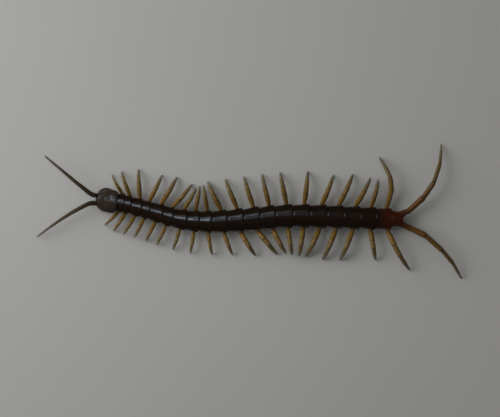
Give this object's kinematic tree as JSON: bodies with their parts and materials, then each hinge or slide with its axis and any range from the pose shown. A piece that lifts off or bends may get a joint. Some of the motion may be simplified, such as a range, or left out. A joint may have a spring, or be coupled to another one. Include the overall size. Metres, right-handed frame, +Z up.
{
  "type": "centipede",
  "caption": "Slender scolopendrid centipede with glossy dark back plates, olive-brown legs and long trailing hind legs, a still life-size model in mid stride.",
  "frame": {"origin": "on the floor under the middle of the whole animal, feelers and hind legs included", "axes": "+Z up, the body lies along X with its head towards -X, and its own right side looks towards +Y"},
  "size_m": [0.0961, 0.0311, 0.0054],
  "materials": {
    "body_chitin": "glossy near-black brown plates, red-brown at the sides",
    "tail_chitin": "glossy dark red-brown plates",
    "head_chitin": "glossy dark brown plate",
    "fang_chitin": "glossy amber brown, black at the points",
    "antenna_chitin": "satin dark brown, olive towards the tip, finely haired",
    "leg_chitin": "satin amber olive, greyer towards the claw",
    "last_leg_chitin": "satin orange brown, olive towards the claw"
  },
  "bodies": {
    "root": {"head": "head_chitin", "antenna_left": "antenna_chitin", "antenna_right": "antenna_chitin", "forcipule_base": "fang_chitin", "forcipule_left": "fang_chitin", "forcipule_right": "fang_chitin", "trunk_01_03": "body_chitin", "trunk_04_06": "body_chitin", "trunk_07_09": "body_chitin", "trunk_10_12": "body_chitin", "trunk_13_15": "body_chitin", "trunk_16_18": "body_chitin", "trunk_19_20": "body_chitin", "trunk_21": "tail_chitin", "leg_left_01": "leg_chitin", "leg_left_02": "leg_chitin", "leg_left_03": "leg_chitin", "leg_left_04": "leg_chitin", "leg_left_05": "leg_chitin", "leg_left_06": "leg_chitin", "leg_left_07": "leg_chitin", "leg_left_08": "leg_chitin", "leg_left_09": "leg_chitin", "leg_left_10": "leg_chitin", "leg_left_11": "leg_chitin", "leg_left_12": "leg_chitin", "leg_left_13": "leg_chitin", "leg_left_14": "leg_chitin", "leg_left_15": "leg_chitin", "leg_left_16": "leg_chitin", "leg_left_17": "leg_chitin", "leg_left_18": "leg_chitin", "leg_left_19": "leg_chitin", "leg_left_20": "leg_chitin", "leg_right_01": "leg_chitin", "leg_right_02": "leg_chitin", "leg_right_03": "leg_chitin", "leg_right_04": "leg_chitin", "leg_right_05": "leg_chitin", "leg_right_06": "leg_chitin", "leg_right_07": "leg_chitin", "leg_right_08": "leg_chitin", "leg_right_09": "leg_chitin", "leg_right_10": "leg_chitin", "leg_right_11": "leg_chitin", "leg_right_12": "leg_chitin", "leg_right_13": "leg_chitin", "leg_right_14": "leg_chitin", "leg_right_15": "leg_chitin", "leg_right_16": "leg_chitin", "leg_right_17": "leg_chitin", "leg_right_18": "leg_chitin", "leg_right_19": "leg_chitin", "leg_right_20": "leg_chitin", "leg_left_21": "last_leg_chitin", "leg_right_21": "last_leg_chitin"}
  },
  "joints": []
}
